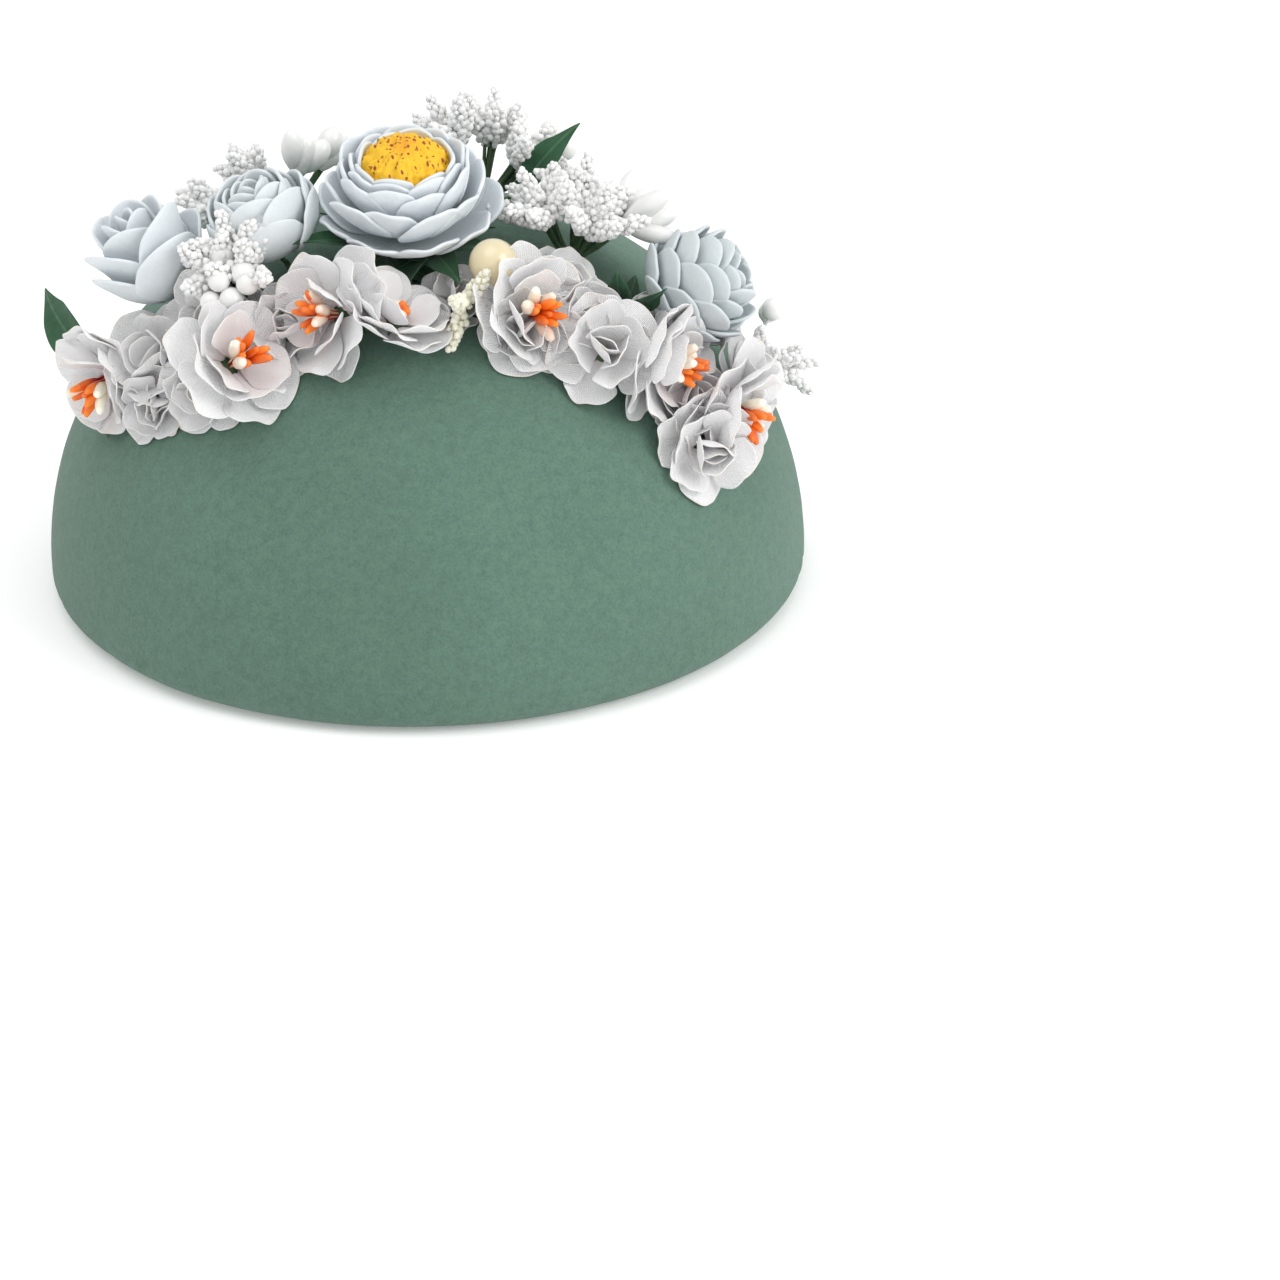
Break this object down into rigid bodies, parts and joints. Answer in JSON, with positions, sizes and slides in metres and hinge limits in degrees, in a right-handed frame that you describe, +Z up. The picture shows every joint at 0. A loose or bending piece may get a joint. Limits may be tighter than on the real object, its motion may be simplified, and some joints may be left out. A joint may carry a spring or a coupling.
{
  "type": "floral foam half-sphere with flower garland",
  "caption": "Green dry floral foam half-sphere on a flat base, dressed with a garland of wired artificial flowers, buds, a pearl and leaves that pull out of the foam.",
  "frame": {"origin": "centre of the flat base, on the surface that it stands on", "axes": "+Z up through the top of the dome, -Y towards the side that the garland faces, +X to the right seen from there"},
  "size_m": [0.2, 0.2, 0.1273],
  "materials": {
    "floral_foam": "matte, dry, fine-celled",
    "green_wire": "dull green wire and stem tape",
    "orange_stamens": "satin lacquer",
    "yellow_centre": "rough, speckled",
    "green_sepals": "matte",
    "sugared_sprigs": "rough, frosted",
    "glossy_buds": "glossy lacquer",
    "ivory_pearl": "pearly",
    "green_leaf": "rough cloth",
    "white_fabric": "fine woven cloth",
    "pale_foam_rubber": "matte, slightly blue white"
  },
  "bodies": {
    "foam": {"foam_half_sphere": "floral_foam"},
    "left_blossom_pick": {"blossom_a_petals": "white_fabric", "blossom_a_stamens": "orange_stamens", "left_blossom_stem": "green_wire", "left_leaf": "green_leaf"},
    "rose_pick": {"rose_heart": "pale_foam_rubber", "rose_petals": "pale_foam_rubber", "rose_stem": "green_wire"},
    "front_left_blossom_pick": {"blossom_b2_petals": "white_fabric", "blossom_b_petals": "white_fabric", "blossom_b_stamens": "orange_stamens", "front_left_blossom_stem": "green_wire"},
    "ranunculus_pick": {"ranunculus_heart": "pale_foam_rubber", "ranunculus_petals": "pale_foam_rubber", "ranunculus_stem": "green_wire"},
    "left_spray_pick": {"left_spray_buds": "glossy_buds", "left_spray_sprigs": "sugared_sprigs", "left_spray_stem": "green_wire"},
    "centre_left_blossom_pick": {"blossom_c2_petals": "white_fabric", "blossom_c2_stamens": "orange_stamens", "blossom_c_petals": "white_fabric", "blossom_c_stamens": "orange_stamens", "centre_left_blossom_stem": "green_wire"},
    "peony_pick": {"peony_calyx": "green_sepals", "peony_centre": "yellow_centre", "peony_inner_petals": "pale_foam_rubber", "peony_leaves": "green_leaf", "peony_outer_petals": "pale_foam_rubber", "peony_stem": "green_wire"},
    "pearl_pick": {"pearl_bead": "ivory_pearl", "pearl_sprigs": "sugared_sprigs", "pearl_stem": "green_wire"},
    "centre_right_blossom_pick": {"blossom_d2_petals": "white_fabric", "blossom_d_petals": "white_fabric", "blossom_d_stamens": "orange_stamens", "centre_right_blossom_stem": "green_wire"},
    "right_spray_pick": {"right_spray_buds": "glossy_buds", "right_spray_sprigs": "sugared_sprigs", "right_spray_stem": "green_wire"},
    "dahlia_pick": {"dahlia_heart": "pale_foam_rubber", "dahlia_leaf": "green_leaf", "dahlia_petals": "pale_foam_rubber", "dahlia_stem": "green_wire"},
    "front_right_blossom_pick": {"blossom_e2_petals": "white_fabric", "blossom_e_petals": "white_fabric", "blossom_e_stamens": "orange_stamens", "front_right_blossom_stem": "green_wire"},
    "right_blossom_pick": {"blossom_f_petals": "white_fabric", "blossom_f_stamens": "orange_stamens", "right_blossom_stem": "green_wire"},
    "top_spray_pick": {"top_leaf": "green_leaf", "top_spray_buds": "glossy_buds", "top_spray_sprigs": "sugared_sprigs", "top_spray_stem": "green_wire"},
    "rear_left_spray_pick": {"rear_left_spray_buds": "glossy_buds", "rear_left_spray_sprigs": "sugared_sprigs", "rear_left_spray_stem": "green_wire"},
    "right_end_spray_pick": {"right_end_spray_buds": "glossy_buds", "right_end_spray_sprigs": "sugared_sprigs", "right_end_spray_stem": "green_wire"}
  },
  "joints": [
    {"name": "left_blossom_pull", "type": "slide", "parent": "foam", "child": "left_blossom_pick", "axis": [-0.7068, -0.309, 0.6364], "range_m": [0, 0.04]},
    {"name": "rose_pull", "type": "slide", "parent": "foam", "child": "rose_pick", "axis": [-0.554, -0.2079, 0.8061], "range_m": [0, 0.04]},
    {"name": "front_left_blossom_pull", "type": "slide", "parent": "foam", "child": "front_left_blossom_pick", "axis": [-0.4348, -0.4695, 0.7685], "range_m": [0, 0.04]},
    {"name": "ranunculus_pull", "type": "slide", "parent": "foam", "child": "ranunculus_pick", "axis": [-0.3246, -0.2334, 0.9166], "range_m": [0, 0.04]},
    {"name": "left_spray_pull", "type": "slide", "parent": "foam", "child": "left_spray_pick", "axis": [-0.3971, -0.342, 0.8517], "range_m": [0, 0.04]},
    {"name": "centre_left_blossom_pull", "type": "slide", "parent": "foam", "child": "centre_left_blossom_pick", "axis": [-0.1355, -0.5, 0.8554], "range_m": [0, 0.04]},
    {"name": "peony_pull", "type": "slide", "parent": "foam", "child": "peony_pick", "axis": [-0.0253, -0.2504, 0.9678], "range_m": [0, 0.04]},
    {"name": "pearl_pull", "type": "slide", "parent": "foam", "child": "pearl_pick", "axis": [0.1076, -0.4695, 0.8764], "range_m": [0, 0.04]},
    {"name": "centre_right_blossom_pull", "type": "slide", "parent": "foam", "child": "centre_right_blossom_pick", "axis": [0.284, -0.4462, 0.8487], "range_m": [0, 0.04]},
    {"name": "right_spray_pull", "type": "slide", "parent": "foam", "child": "right_spray_pick", "axis": [0.3635, -0.2419, 0.8996], "range_m": [0, 0.04]},
    {"name": "dahlia_pull", "type": "slide", "parent": "foam", "child": "dahlia_pick", "axis": [0.5621, -0.2924, 0.7737], "range_m": [0, 0.04]},
    {"name": "front_right_blossom_pull", "type": "slide", "parent": "foam", "child": "front_right_blossom_pick", "axis": [0.4653, -0.5, 0.7304], "range_m": [0, 0.04]},
    {"name": "right_blossom_pull", "type": "slide", "parent": "foam", "child": "right_blossom_pick", "axis": [0.6955, -0.4462, 0.5632], "range_m": [0, 0.04]},
    {"name": "top_spray_pull", "type": "slide", "parent": "foam", "child": "top_spray_pick", "axis": [0.1564, -0.0175, 0.9875], "range_m": [0, 0.04]},
    {"name": "rear_left_spray_pull", "type": "slide", "parent": "foam", "child": "rear_left_spray_pick", "axis": [-0.342, 0, 0.9397], "range_m": [0, 0.04]},
    {"name": "right_end_spray_pull", "type": "slide", "parent": "foam", "child": "right_end_spray_pick", "axis": [0.8011, -0.1392, 0.5821], "range_m": [0, 0.04]}
  ]
}
